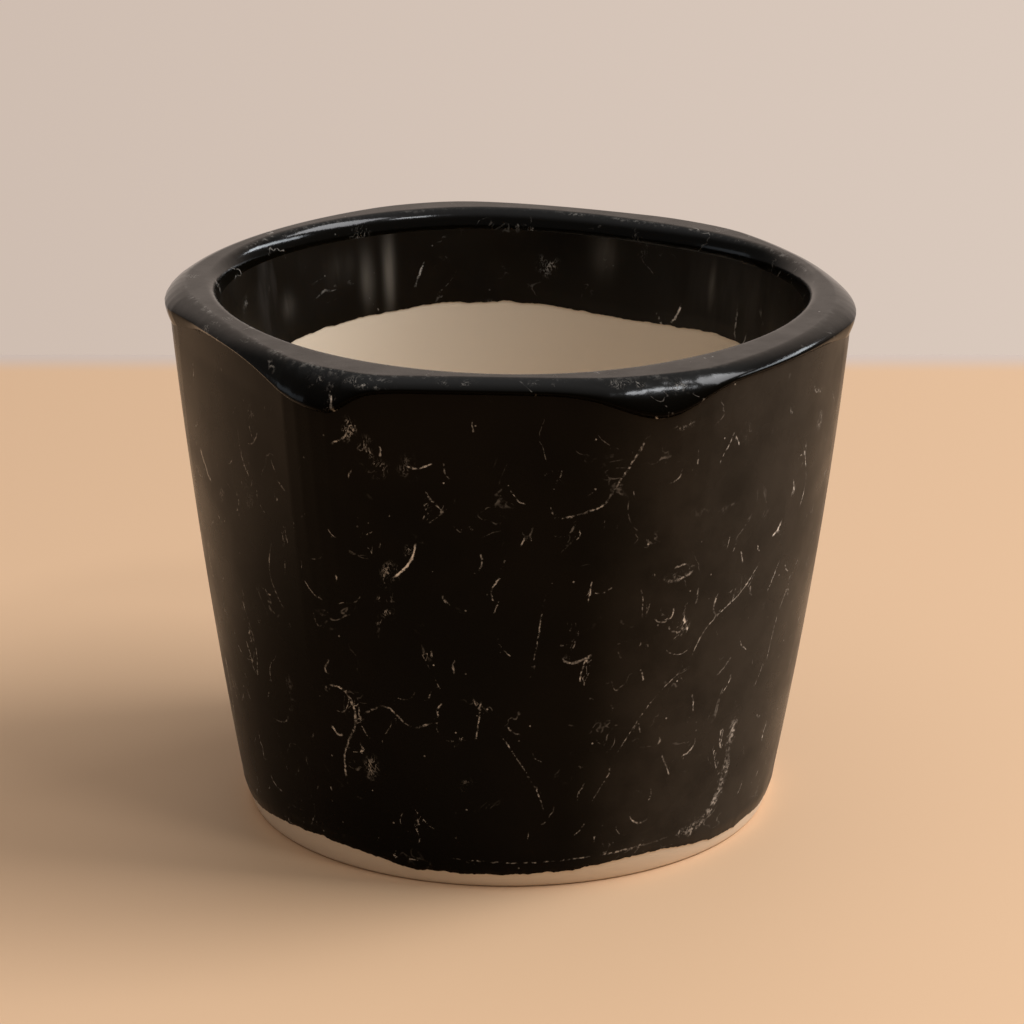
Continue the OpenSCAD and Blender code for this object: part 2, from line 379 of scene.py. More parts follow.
def ripple(d, seed, slowest, fastest, fall):
    """A closed random line round the pot: sines of whole turns, weaker as they get finer."""
    draw = np.random.default_rng(seed)
    turns = np.unique(np.geomspace(slowest, fastest, 24).astype(int))
    line = np.zeros_like(d)
    for n in turns:
        strength = (slowest / n) ** fall * draw.uniform(0.5, 1)
        line += strength * np.sin(np.radians(n * d) + draw.uniform(0, 2 * math.pi))
    return line / np.sqrt(len(turns))


# Meshes

def grid_faces(columns, rows, closed):
    """Quads between neighbouring columns, and rows that close on themselves if asked."""
    i, j = np.meshgrid(np.arange(columns), np.arange(rows if closed else rows - 1), indexing="ij")
    n, k = (i + 1) % columns, (j + 1) % rows
    return np.stack([i * rows + j, n * rows + j, n * rows + k, i * rows + k], -1).reshape(-1, 4)


def make_object(name, points, faces, crisp=35):
    """A mesh object at the origin with smooth faces and sharp edges over the crisp angle."""
    mesh = bpy.data.meshes.new(name)
    mesh.from_pydata(points, [], faces)
    mesh.polygons.foreach_set("use_smooth", np.ones(len(mesh.polygons), bool))
    mesh.update()
    mesh.set_sharp_from_angle(angle=math.radians(crisp))
    made = bpy.data.objects.new(name, mesh)
    bpy.context.scene.collection.objects.link(made)
    return made


def spread(rows, part, d):
    """One part of the rows, radius 0 or height 1, in every direction."""
    return np.stack([np.broadcast_to(row[part], len(d)) for row in rows], 1)


def ring(form, name, d, rows, crisp=35):
    """A closed ring: the section's rows of (radius, height), anticlockwise, carried round.

    Each point lies its radius out from the leaning axis in its direction.
    """
    r, z = spread(rows, 0, d), spread(rows, 1, d)
    turn = np.radians(d)[:, None]
    x = r * np.cos(turn) + form.sideways(z)
    points = np.stack([x, r * np.sin(turn), z], -1).reshape(-1, 3)
    return make_object(name, points, grid_faces(len(d), len(rows), True), crisp)


def disc(name, d, rows):
    """A closed turned solid: rows from the axis below to the axis above, poles closed."""
    columns, count = len(d), len(rows)
    turn = np.radians(d)[:, None]
    r, z = np.array([row[0] for row in rows]), np.array([row[1] for row in rows])
    x, y = r * np.cos(turn), r * np.sin(turn)
    points = np.stack([x, y, np.broadcast_to(z, x.shape)], -1).reshape(-1, 3)
    low, high = len(points), len(points) + 1
    points = np.vstack([points, [0, 0, z[0]], [0, 0, z[-1]]])
    first = np.arange(columns) * count
    after = np.roll(first, -1)
    below = np.stack([np.full(columns, low), after, first], 1)
    above = np.stack([np.full(columns, high), first + count - 1, after + count - 1], 1)
    faces = grid_faces(columns, count, False).tolist() + below.tolist() + above.tolist()
    return make_object(name, points, faces)


def put_attribute(piece, name, values):
    """A number at each vertex, for the material to read."""
    attribute = piece.data.attributes.new(name, "FLOAT", "POINT")
    attribute.data.foreach_set("value", np.asarray(values, np.float32).ravel())


def settle(piece, node, material):
    """The piece rides on the body, stands for its solid and takes its material."""
    piece.data.materials.append(material)
    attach(piece, "root")
    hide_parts(node)


# Marks: veins, tufts of scratches and specks, laid out over direction and height

FRONT = (-152, -24)
NOWHERE = (0, 0)
FAR = 9.0
# Millimetres round the pot in one degree
WALL_DEGREE, RIM_DEGREE, BAND_DEGREE = 1.03, 1.15, 0.96

# Veins on the front of the wall: [half width in mm, strength, (direction, height in mm), ...]
WALL_VEINS = [
    [0.24, 1, (-106, 70.8), (-106.4, 68.4), (-107.8, 65.6), (-110.6, 63)],
    [0.22, 0.45, (-68, 92), (-70, 87.5), (-73.3, 81), (-75.2, 78), (-80, 76), (-85.5, 75.6)],
    [0.32, 0.52, (-64.6, 62.6), (-61, 61.6), (-57.6, 63.4), (-59.6, 64.6), (-62.6, 64.2)],
    [0.3, 0.8, (-38, 64.4), (-36.3, 65), (-34.8, 67)],
    [0.16, 0.6, (-40, 61), (-44.8, 55.7), (-50.7, 52.2), (-54, 49), (-56, 44)],
    [0.3, 0.8, (-59, 54), (-57.6, 51.4), (-58.6, 50.2)],
    [0.16, 0.38, (-83.6, 62.6), (-84.6, 56), (-85.2, 51), (-86.1, 46)],
    [0.3, 0.7, (-80.8, 48.2), (-78.6, 47), (-75.2, 48.6)],
    [0.28, 0.56, (-127, 37.6), (-123, 39.4), (-120, 37), (-119.8, 32), (-123, 25), (-123, 17)],
    [0.24, 0.5, (-118, 34.4), (-113, 37), (-108.6, 33.4), (-104, 34.6)],
    [0.28, 0.8, (-125.4, 30.6), (-124, 29), (-122.6, 29.4)],
    [0.16, 0.48, (-92, 33.4), (-87.6, 26.4), (-84.6, 21), (-82.4, 15)],
    [1.2, 0.44, (-41, 34), (-41.4, 24), (-41.6, 17), (-43.6, 11.6), (-47, 8), (-54, 6.6)],
    [0.26, 0.5, (-47, 8), (-60, 6.6), (-72, 6)],
    [0.18, 0.4, (-70, 6.1), (-80, 5.8), (-90, 5.7), (-100, 6.2)],
    [0.16, 0.5, (-146, 86), (-145, 79), (-141.6, 75)],
    [0.18, 0.4, (-96.6, 94.4), (-96.2, 91)],
    [0.22, 0.5, (-108.4, 86), (-105.4, 84.8), (-102.4, 86.4)],
    [0.16, 0.6, (-76, 64), (-76.6, 58.8)],
    [0.14, 0.5, (-70, 24.4), (-73.8, 17.6)],
    [0.14, 0.45, (-55.4, 44.4), (-63.2, 37.6), (-70.2, 26)],
    [0.22, 0.6, (-59.6, 25.6), (-57, 20.4)],
    [0.2, 0.5, (-95, 40), (-96.2, 31)],
    [0.14, 0.4, (-106, 49.4), (-102.4, 41.2)],
    [0.18, 0.5, (-30, 80), (-27, 72), (-29, 66)],
    [0.14, 0.5, (-24, 58), (-31, 47), (-33, 36)],
    [0.2, 0.5, (-136, 66), (-138, 58), (-134, 51)],
    [0.16, 0.5, (-150, 50), (-146, 41), (-147, 33)],
]

# Tufts of scratches on the front of the wall: (direction, height, spreads along and up, weight)
WALL_TUFTS = [
    (-116.2, 91.8, 1.3, 2, 1.2),
    (-113.4, 88, 1.6, 2.6, 0.8),
    (-111.6, 84.6, 1.8, 1.8, 0.8),
    (-106.8, 85, 2.4, 3, 0.4),
    (-111.8, 58, 1.5, 3.6, 0.9),
    (-110.4, 64.6, 1.7, 1.8, 1),
    (-107.2, 68.4, 0.9, 1.6, 0.8),
    (-117, 23, 1.8, 3, 0.8),
    (-62.4, 92.5, 1.6, 0.9, 1),
    (-61, 62.6, 2.4, 1, 0.7),
    (-58, 52, 1.2, 1.8, 0.6),
    (-79, 48, 1.6, 1, 0.6),
    (-48, 88, 3, 3, 0.4),
    (-42, 14, 1.8, 5, 0.5),
    (-140, 88, 2.4, 3.2, 0.5),
    (-143, 72, 2, 4.5, 0.4),
    (-98, 22, 1.6, 2.4, 0.4),
]

# Tufts on the front of the rim, most of them along the outer edge of its flat top
RIM_TUFTS = [
    (-113, 100.6, 5, 0.8, 0.8),
    (-121, 99.6, 3, 1.2, 0.7),
    (-99, 101, 4, 0.6, 0.5),
    (-84, 101, 5, 0.6, 0.5),
    (-72, 100.6, 5, 0.8, 0.6),
    (-63, 99.6, 3, 1.4, 0.5),
    (-118, 95.5, 1.6, 2, 0.8),
]

# Grey smears and painted highlights on the inside band, in the same form; the last, wide one is
# painted light on the shaded right of the band
BAND_SMEARS_AND_PAINTED_LIGHT = [
    (116.5, 91, 1.1, 7, 1),
    (142, 88, 1.5, 2.5, 0.9),
    (121.6, 90, 1.4, 5, 0.6),
    (45, 90.5, 0.9, 4, 0.9),
    (70, 94, 2.5, 4, 0.4),
    (128, 93, 3, 3, 0.3),
    (38, 90, 16, 8, 0.16),
]


def random_places(draw, count, low, high, keep_out):
    """Directions and heights all round, except where keep_out covers the direction."""
    while count:
        d, z = draw.uniform(-180, 180), draw.uniform(low, high)
        if not keep_out[0] < d < keep_out[1]:
            count -= 1
            yield d, z


def random_veins(seed, count, low, high, keep_out, widths=(0.13, 0.42), depths=(0.35, 0.85),
                 strides=(2, 6)):
    """Wandering short veins at random places."""
    draw = np.random.default_rng(seed)
    veins = []
    for d, z in random_places(draw, count, low, high, keep_out):
        heading, turn = draw.uniform(-2.2, -0.9), draw.uniform(-0.5, 0.5)
        stride = draw.uniform(*strides)
        path = []
        for _ in range(draw.integers(3, 7)):
            path.append((d, float(np.clip(z, low, high))))
            d, z = d + stride * math.cos(heading), z + stride * math.sin(heading)
            heading += turn + draw.uniform(-0.5, 0.5)
        veins.append([draw.uniform(*widths), draw.uniform(*depths), *path])
    return veins


def random_tufts(seed, count, low, high, keep_out):
    """Small tufts of scratches at random places."""
    draw = np.random.default_rng(seed)
    return [
        (d, z, draw.uniform(1, 3), draw.uniform(1, 4), draw.uniform(0.3, 0.9))
        for d, z in random_places(draw, count, low, high, keep_out)
    ]


def smooth_path(points, steps):
    """A Catmull-Rom curve through the points, with even steps between each two."""
    p = np.array([points[0], *points, points[-1]], float)
    u = np.linspace(0, 1, steps, endpoint=False)[:, None]
    parts = []
    for a, b, c, e in zip(p[:-3], p[1:-2], p[2:-1], p[3:]):
        parts.append(
            0.5 * (2 * b + (c - a) * u + (2 * a - 5 * b + 4 * c - e) * u**2
                   + (3 * b - a - 3 * c + e) * u**3)
        )
    return np.vstack([*parts, p[-1:]])


def vein_fields(d, z, veins, mm_per_degree):
    """For each point, its signed distance in mm to the nearest vein and that vein's strength.

    The distance is taken square to the vein's nearest stretch, divided by its half width, and
    the strength fades to nothing at the vein's ends and a few widths away from it.
    """
    offset = np.full(d.shape, FAR)
    strength = np.zeros(d.shape)
    best = np.full(d.shape, FAR)
    for half_width, weight, *points in veins:
        path = smooth_path(points, 6)
        centre = path[:, 0].mean()
        reach = 4 * half_width + 1.5
        x, y = wrap(d - centre) * mm_per_degree, z / MM
        px, py = (path[:, 0] - centre) * mm_per_degree, path[:, 1]
        near = (x > px.min() - reach) & (x < px.max() + reach)
        near &= (y > py.min() - reach) & (y < py.max() + reach)
        if not near.any():
            continue
        qx, qy = x[near][:, None], y[near][:, None]
        ax, ay, bx, by = px[:-1], py[:-1], px[1:], py[1:]
        sx, sy = bx - ax, by - ay
        size = sx**2 + sy**2
        t = np.clip(((qx - ax) * sx + (qy - ay) * sy) / size, 0, 1)
        gap = np.hypot(qx - ax - t * sx, qy - ay - t * sy)
        k = gap.argmin(1)
        row = np.arange(len(k))
        side = np.sign(sx[k] * (qy[:, 0] - ay[k]) - sy[k] * (qx[:, 0] - ax[k]))
        along = (k + t[row, k]) / len(sx)
        ends = np.clip(np.minimum(along, 1 - along) * 6, 0, 1)
        distance = gap[row, k] / half_width
        fade = weight * ease(ends) * (1 - ease(np.clip(distance / 4 - 0.4, 0, 1)))
        closer = distance < best[near]
        target = np.flatnonzero(near.ravel())[closer]
        best.ravel()[target] = distance[closer]
        offset.ravel()[target] = (side * distance)[closer]
        strength.ravel()[target] = fade[closer]
    return offset, strength


def tuft_field(d, z, tufts, mm_per_degree):
    """Soft patches: the strongest of a set of bell shapes over direction and height."""
    field = np.zeros(d.shape)
    for centre, height, along, up, weight in tufts:
        x, y = wrap(d - centre) * mm_per_degree / along, (z / MM - height) / up
        field = np.maximum(field, weight * np.exp(-(x**2) - y**2))
    return field


def put_marks(piece, d, rows, veins, tufts, mm_per_degree):
    """Puts the vein and tuft fields on a ring, and gives its points' directions and heights."""
    z = spread(rows, 1, d)
    d = np.broadcast_to(d[:, None], z.shape)
    offset, strength = vein_fields(d, z, veins, mm_per_degree)
    put_attribute(piece, "vein_offset", offset)
    put_attribute(piece, "vein_strength", strength)
    put_attribute(piece, "tuft", tuft_field(d, z, tufts, mm_per_degree))
    return d, z


# Shader helpers and shared effects

class Tree:
    """Short ways to add and join shader nodes, whose patterns lie at the tree's point."""

    def __init__(self, tree, point=None):
        self.tree = tree
        self.point = point
        self.x = 0

    def add(self, kind, settings=None, **values):
        """A node with its settings, whose inputs are numbers, colours or other sockets."""
        node = self.tree.nodes.new(kind)
        self.x += 180
        node.location = (self.x, 0)
        for key, value in (settings or {}).items():
            setattr(node, key, value)
        for key, value in values.items():
            self.put(node.inputs[key.replace("_", " ")], value)
        return node

    def put(self, socket, value):
        """Joins a socket to another or gives it a value."""
        if isinstance(value, bpy.types.NodeSocket):
            self.tree.links.new(value, socket)
        else:
            socket.default_value = value

    def math(self, operation, *values, clamp=False):
        node = self.add("ShaderNodeMath", {"operation": operation, "use_clamp": clamp})
        for socket, value in zip(node.inputs, values):
            self.put(socket, value)
        return node.outputs[0]

    def plus(self, a, b):
        return self.math("ADD", a, b)

    def minus(self, a, b, clamp=False):
        return self.math("SUBTRACT", a, b, clamp=clamp)

    def times(self, a, b):
        return self.math("MULTIPLY", a, b)

    def larger(self, a, b):
        return self.math("MAXIMUM", a, b)

    def ramp(self, value, low, high, out_low=0.0, out_high=1.0):
        """Smooth step of value from low to high."""
        node = self.add("ShaderNodeMapRange", {"interpolation_type": "SMOOTHSTEP"})
        for socket, number in zip(node.inputs, (value, low, high, out_low, out_high)):
            self.put(socket, number)
        return node.outputs[0]

    def mix(self, factor, a, b):
        """Blend of two colours."""
        node = self.add("ShaderNodeMix", {"data_type": "RGBA"})
        self.put(node.inputs[0], factor)
        for socket, value in ((node.inputs[6], a), (node.inputs[7], b)):
            is_colour = not isinstance(value, bpy.types.NodeSocket) and len(value) == 3
            self.put(socket, (*value, 1) if is_colour else value)
        return node.outputs[2]

    def noise(self, scale, detail=2.0, roughness=0.5, distortion=0.0, at=None):
        point = self.point if at is None else at
        node = self.add("ShaderNodeTexNoise", Vector=point, Scale=scale, Detail=detail,
                        Roughness=roughness, Distortion=distortion)
        return node.outputs["Fac"]

    def stretched(self, vector, x, y, z):
        node = self.add("ShaderNodeMapping", Vector=vector, Scale=(x, y, z))
        return node.outputs[0]

    def attribute(self, name):
        return self.add("ShaderNodeAttribute", {"attribute_name": name}).outputs["Fac"]

    def effect(self, name, **values):
        """The mask of a shared effect, whose node group is made when it is first used."""
        group = bpy.data.node_groups.get(name) or EFFECTS[name](name)
        settings = {"node_tree": group}
        node = self.add("ShaderNodeGroup", settings, Point=self.point, **values)
        return node.outputs["Mask"]


class MaterialTree(Tree):
    """The tree of a new material with one Principled shader."""

    def __init__(self, name, roughness, ior):
        self.material = bpy.data.materials.new(name)
        self.material.use_nodes = True
        self.material.node_tree.nodes.clear()
        super().__init__(self.material.node_tree)
        self.shader = self.add("ShaderNodeBsdfPrincipled", Roughness=roughness, IOR=ior)
        end = self.add("ShaderNodeOutputMaterial", Surface=self.shader.outputs[0])
        end.is_active_output = True
        self.point = self.add("ShaderNodeTexCoord").outputs["Object"]

    def finish(self, base, rough, height, bump=0.5):
        """Joins up the colour, the roughness and a bump of up to a millimetre."""
        normal = self.add("ShaderNodeBump", Strength=bump, Distance=1 * MM, Height=height)
        self.put(self.shader.inputs["Base Color"], base)
        self.put(self.shader.inputs["Roughness"], rough)
        self.put(self.shader.inputs["Normal"], normal.outputs[0])
        return self.material


def new_effect(name, **amounts):
    """A node group into which a Point and the named amounts go, and a Mask comes out."""
    group = bpy.data.node_groups.new(name, "ShaderNodeTree")
    add_socket = group.interface.new_socket
    add_socket("Point", in_out="INPUT", socket_type="NodeSocketVector")
    for label, default in amounts.items():
        socket = add_socket(label, in_out="INPUT", socket_type="NodeSocketFloat")
        socket.default_value = default
    add_socket("Mask", in_out="OUTPUT", socket_type="NodeSocketFloat")
    given = group.nodes.new("NodeGroupInput").outputs
    mask = group.nodes.new("NodeGroupOutput").inputs["Mask"]
    return group, Tree(group, given["Point"]), given, mask


def vein_group(name):
    """Painted veins: thin where the distance field is near zero, broken up by fine noise."""
    group, t, given, mask = new_effect(name, Offset=FAR, Strength=0.0)
    wobble = t.minus(t.noise(900, 3, 0.6), 0.5)
    moved = t.plus(given["Offset"], t.times(wobble, 3.2))
    line = t.ramp(t.math("ABSOLUTE", moved), 0.25, 1.2, 1.0, 0.0)
    broken = t.ramp(t.noise(1300, 3, 0.65), 0.36, 0.62)
    soft = t.ramp(t.noise(260, 2), 0.3, 0.62, 0.25)
    gaps = t.minus(1.0, t.times(broken, soft))
    full = t.times(given["Strength"], 1.5)
    left = t.minus(full, t.times(gaps, 0.75), clamp=True)
    t.put(mask, t.math("POWER", t.times(line, left), 1.7))
    return group


def tuft_group(name):
    """Tufts: fine threads and dots of stretched noise, showing only inside soft patches."""
    group, t, given, mask = new_effect(name, Field=0.0)
    warp = t.add("ShaderNodeTexNoise", Vector=t.point, Scale=240.0, Detail=2.0)
    moved = t.add("ShaderNodeVectorMath", {"operation": "MULTIPLY_ADD"})
    t.put(moved.inputs[0], warp.outputs["Color"])
    t.put(moved.inputs[1], (0.004, 0.004, 0.004))
    t.put(moved.inputs[2], t.point)
    fine = t.noise(1500, 2, 0.6, at=t.stretched(moved.outputs[0], 1, 1, 0.45))
    ridge = t.math("ABSOLUTE", t.minus(fine, 0.5))
    threads = t.ramp(ridge, 0.012, 0.05, 1.0, 0.0)
    patches = t.ramp(t.noise(420, 3, 0.6), 0.46, 0.66)
    level = t.ramp(given["Field"], 0.12, 0.75)
    shown = t.times(t.times(threads, patches), level)
    t.put(mask, t.times(shown, 0.42))
    return group


def web_group(name):
    """Faint threads all over: contour lines of warped noise, kept only in scattered patches."""
    group, t, given, mask = new_effect(name, Scale=60.0, Amount=0.5)
    field = t.noise(given["Scale"], 3, 0.55, 0.8)
    line = t.ramp(t.math("ABSOLUTE", t.minus(field, 0.5)), 0.002, 0.011, 1.0, 0.0)
    where = t.ramp(t.noise(t.times(given["Scale"], 1.7), 2), 0.56, 0.72)
    broken = t.ramp(t.noise(1100, 2, 0.6), 0.4, 0.62)
    shown = t.times(t.times(line, where), broken)
    t.put(mask, t.times(shown, given["Amount"]))
    return group


def speck_group(name):
    """Specks: small dots at the middles of scattered cells, each cell with its own chance."""
    group, t, given, mask = new_effect(name, Scale=500.0, Share=0.1, Size=0.2)
    cells = t.add("ShaderNodeTexVoronoi", Vector=t.point, Scale=given["Scale"])
    chance = t.add("ShaderNodeSeparateColor", Color=cells.outputs["Color"]).outputs[0]
    picked = t.math("LESS_THAN", chance, given["Share"])
    size = given["Size"]
    dot = t.ramp(cells.outputs["Distance"], t.times(size, 0.5), size, 1.0, 0.0)
    t.put(mask, t.times(dot, picked))
    return group


EFFECTS = {
    "Painted veins": vein_group,
    "Scratch tufts": tuft_group,
    "Faint threads": web_group,
    "Specks": speck_group,
}


def coat_masks(t, threads, speck_share):
    """Pale marks of a coat piece: painted veins, tufts, faint threads and specks together."""
    offset, strength = t.attribute("vein_offset"), t.attribute("vein_strength")
    veins = t.effect("Painted veins", Offset=offset, Strength=strength)
    tufts = t.effect("Scratch tufts", Field=t.attribute("tuft"))
    web = t.effect("Faint threads", Scale=70.0, Amount=threads)
    specks = t.effect("Specks", Scale=520.0, Share=speck_share, Size=0.12)
    clumps = t.ramp(t.noise(120, 3), 0.42, 0.66, 0.05, 0.5)
    return t.larger(t.larger(t.larger(veins, tufts), web), t.times(specks, clumps))


def wall_coat_material(look):
    """Burnished brown-black: dark clouds, pale marks, and a thin brown fringe at the edge."""
    t = MaterialTree("burnished_black_coat", 0.3, 1.135)
    pale = coat_masks(t, 0.15, 0.11)
    clouds = t.ramp(t.noise(22, 4, 0.6), 0.4, 0.7)
    base = t.mix(t.times(clouds, 0.25), look.black, look.brown)
    # Painted light: the wall is mixed towards the paler tint on its right, where the key light
    # falls, and in a painted reflection band at its left edge; noise breaks it up
    painted_light = t.ramp(t.noise(90, 4, 0.6), 0.25, 0.7, 0.5)
    base = t.mix(t.times(t.attribute("haze_and_painted_light"), painted_light), base, look.painted_light_tint)
    thin = t.attribute("thinness")
    fringe = t.ramp(t.plus(thin, t.noise(700, 3)), 1.1, 1.6)
    base = t.mix(t.times(fringe, 0.6), base, look.brown)
    base = t.mix(pale, base, look.vein)
    haze_and_painted_light = t.ramp(t.noise(60, 3, 0.6), 0.35, 0.7, 0.24, 0.36)
    rough = t.plus(haze_and_painted_light, t.times(pale, 0.3))
    waves = t.noise(45, 2, 0.5, at=t.stretched(t.point, 1, 1, 0.5))
    grit = t.noise(1400, 2, 0.6)
    height = t.plus(t.times(waves, 0.25), t.times(grit, 0.01))
    height = t.minus(height, t.times(pale, 0.02))
    return t.finish(base, rough, height)


def rim_coat_material(look):
    """The same coat, worn to satin grey on the flat top and scuffed along its outer edge."""
    t = MaterialTree("worn_rim_coat", 0.34, 1.32)
    pale = coat_masks(t, 0.3, 0.04)
    wear = t.attribute("wear")
    edge = t.attribute("edge")
    patchy = t.ramp(t.noise(150, 5, 0.7), 0.35, 0.68)
    base = t.mix(t.times(wear, patchy), look.black, look.worn)
    scuff = t.ramp(t.noise(900, 4, 0.7), 0.46, 0.7)
    where = t.ramp(t.noise(75, 3, 0.6), 0.42, 0.68, 0.08)
    scuff = t.times(t.times(scuff, where), edge)
    marks = t.larger(pale, t.times(scuff, 0.4))
    base = t.mix(marks, base, look.vein)
    # Specular from the gloss attribute, which is low in the crease as painted shade
    t.put(t.shader.inputs["Specular IOR Level"], t.times(t.attribute("gloss_and_crease_shade"), 0.5))
    rough = t.plus(t.times(wear, 0.14), 0.13)
    rough = t.plus(rough, t.times(marks, 0.3))
    waves = t.plus(t.noise(70, 3, 0.55), t.times(t.noise(330, 3), 0.3))
    grit = t.noise(1500, 3, 0.6)
    height = t.plus(t.times(waves, 0.2), t.times(grit, 0.02))
    height = t.minus(height, t.times(marks, 0.04))
    return t.finish(base, rough, height)


def inner_coat_material(look):
    """The brushed band inside: satin black with soft upright grey streaks."""
    t = MaterialTree("brushed_inner_coat", 0.38, 1.21)
    pale = coat_masks(t, 0.2, 0.02)
    streak = t.noise(160, 3, 0.6, at=t.stretched(t.point, 1, 1, 0.12))
    where = t.ramp(t.noise(45, 2), 0.5, 0.68)
    streaks = t.times(t.ramp(streak, 0.52, 0.7), where)
    smear_and_painted_light = t.attribute("smear_and_painted_light")
    base = t.mix(t.times(t.noise(60, 3), 0.9), look.black, look.brown)
    base = t.mix(t.times(streaks, 0.8), base, look.worn)
    # Painted highlights and painted light: the smears mix the band towards the pale grey
    frayed = t.times(smear_and_painted_light, t.ramp(streak, 0.3, 0.6, 0.2))
    base = t.mix(frayed, base, look.smear_and_painted_light)
    base = t.mix(pale, base, look.vein)
    rough = t.ramp(t.noise(90, 3), 0.3, 0.7, 0.3, 0.45)
    waves, grit = t.noise(80, 3), t.noise(1200, 3)
    height = t.plus(t.times(waves, 0.25), t.times(grit, 0.02))
    return t.finish(base, rough, height)


def clay_material(look):
    """Bare fired clay: matt cream with buff clouds, fine specks, pits and smoothing marks."""
    name = "bare_clay"
    if name in bpy.data.materials:
        return bpy.data.materials[name]
    t = MaterialTree(name, 0.85, 1.4)
    clouds = t.ramp(t.noise(35, 5, 0.6), 0.35, 0.68)
    base = t.mix(clouds, look.cream, look.buff)
    fine = t.ramp(t.noise(600, 3, 0.6), 0.3, 0.7)
    base = t.mix(t.times(fine, 0.12), base, look.buff)
    big = t.effect("Specks", Scale=260.0, Share=0.05, Size=0.14)
    small = t.effect("Specks", Scale=700.0, Share=0.06, Size=0.2)
    specks = t.larger(big, t.times(small, 0.5))
    height = t.add("ShaderNodeSeparateXYZ", Vector=t.point).outputs[2]
    base = t.mix(t.ramp(height, 0.005, 0.013, 0.9, 0.0), base, look.toasted)
    base = t.mix(t.times(specks, 0.75), base, look.speck)
    rough = t.ramp(fine, 0, 1, 0.78, 0.92)
    smoothing = t.noise(60, 3, 0.55, at=t.stretched(t.point, 1, 1, 3))
    grain = t.noise(1600, 4, 0.7)
    height = t.plus(t.times(smoothing, 0.25), t.times(grain, 0.05))
    height = t.minus(height, t.times(specks, 0.05))
    return t.finish(base, rough, height, 0.6)


# Clay pieces

CLAY_COLUMNS = 360
FOOT_COLUMNS = 720


def levels(low, high, steps):
    """Even heights or radii, with both ends."""
    return np.linspace(low, high, steps + 1)


def rows_on(surface, d, heights):
    """Rows of (radius, height) on one of the form's surfaces."""
    return [(surface(d, z), z) for z in heights]


class POT_OT_floor_slab(bpy.types.Operator):
    """Adds the round floor slab: flat below, rounded at the foot, raised inside the wall"""

    bl_idname = "pot.floor_slab"
    bl_label = "Floor slab"

    def execute(self, context):
        form, s, d = set_up(context, FOOT_COLUMNS)
        middle = 2 * MM
        edge = [*levels(0.3 * MM, s.foot_height, 24), s.ledge]
        rows = [(r, 0.0) for r in levels(middle, s.rest_radius, 8)]
        rows += [(float(form.clay_outside(0, z)), z) for z in edge]
        rows += [(s.step_radius, s.ledge)]
        rows += [(r, s.floor_top) for r in levels(s.step_radius, middle, 10)]
        piece = disc("floor_slab_surface", d, rows)
        settle(piece, "floor_slab", clay_material(context.scene.clay_look))
        return {"FINISHED"}


class POT_OT_seam_coil(bpy.types.Operator):
    """Adds the soft coil in the corner between floor and wall: a hollow quarter round"""

    bl_idname = "pot.seam_coil"
    bl_label = "Seam coil"

    def execute(self, context):
        form, s, d = set_up(context, CLAY_COLUMNS)
        lip = 0.25 * MM
        high = s.floor_top + s.seam_radius
        low_r, wall_r = s.floor_inside - s.seam_radius, form.inside(d, high)
        rows = [(low_r, s.floor_top), (s.floor_inside, s.floor_top)]
        rows += rows_on(form.inside, d, levels(s.floor_top, high, 6)[1:])
        for u in np.linspace(0, math.pi / 2, 13):
            r = lerp(low_r, wall_r - lip, math.cos(u))
            rows.append((r, lerp(high, s.floor_top + lip, math.sin(u))))
        piece = ring(form, "seam_coil_surface", d, rows)
        settle(piece, "seam_coil", clay_material(context.scene.clay_look))
        return {"FINISHED"}


class POT_OT_wall_courses(bpy.types.Operator):
    """Adds the three wall courses, each lapped on the one below along a sloping joint"""

    bl_idname = "pot.wall_courses"
    bl_label = "Wall courses"

    def execute(self, context):
        form, s, d = set_up(context, CLAY_COLUMNS)
        half, steps = s.lap / 2, 14
        joints = list(s.joint_heights)
        material = clay_material(context.scene.clay_look)
        clear = s.step_radius / math.cos(math.pi / COLUMNS_OF_SOLIDS)
        bottom = [(clear, s.ledge)]
        bottom += rows_on(form.clay_outside, d, levels(s.ledge, joints[0] + half, steps))
        bottom += rows_on(form.inside, d, levels(joints[0] - half, s.floor_top, steps))
        bottom += [(clear, s.floor_top)]
        sections = {"wall_lower_course": bottom}
        upper = ("wall_middle_course", "wall_upper_course")
        for name, low, high in zip(upper, joints[:2], joints[1:]):
            outer = rows_on(form.clay_outside, d, levels(low + half, high + half, steps))
            inner = rows_on(form.inside, d, levels(high - half, low - half, steps))
            sections[name] = outer + inner
        for name, rows in sections.items():
            piece = ring(form, name + "_surface", d, rows)
            settle(piece, name, material)
        return {"FINISHED"}


class POT_OT_rim_coil(bpy.types.Operator):
    """Adds the rolled rim coil, which the rim coat covers"""

    bl_idname = "pot.rim_coil"
    bl_label = "Rim coil"

    def execute(self, context):
        form, s, d = set_up(context, CLAY_COLUMNS)
        low, half = s.joint_heights[2], s.lap / 2
        section = form.rim_section(d, form.coat.thickness, (4, 10, 6, 10))
        crease = section[0][1]
        wall = rows_on(form.clay_outside, d, [lerp(low + half, crease, u) for u in (0, 0.5)])
        inner = rows_on(form.inside, d, levels(low + half, low - half, 4))
        piece = ring(form, "rim_coil_surface", d, wall + section + inner)
        settle(piece, "rim_coil", clay_material(context.scene.clay_look))
        return {"FINISHED"}


# Coat pieces

COAT_COLUMNS = 720
COAT_CRISP = 50
RAGGED = 0.4 * MM


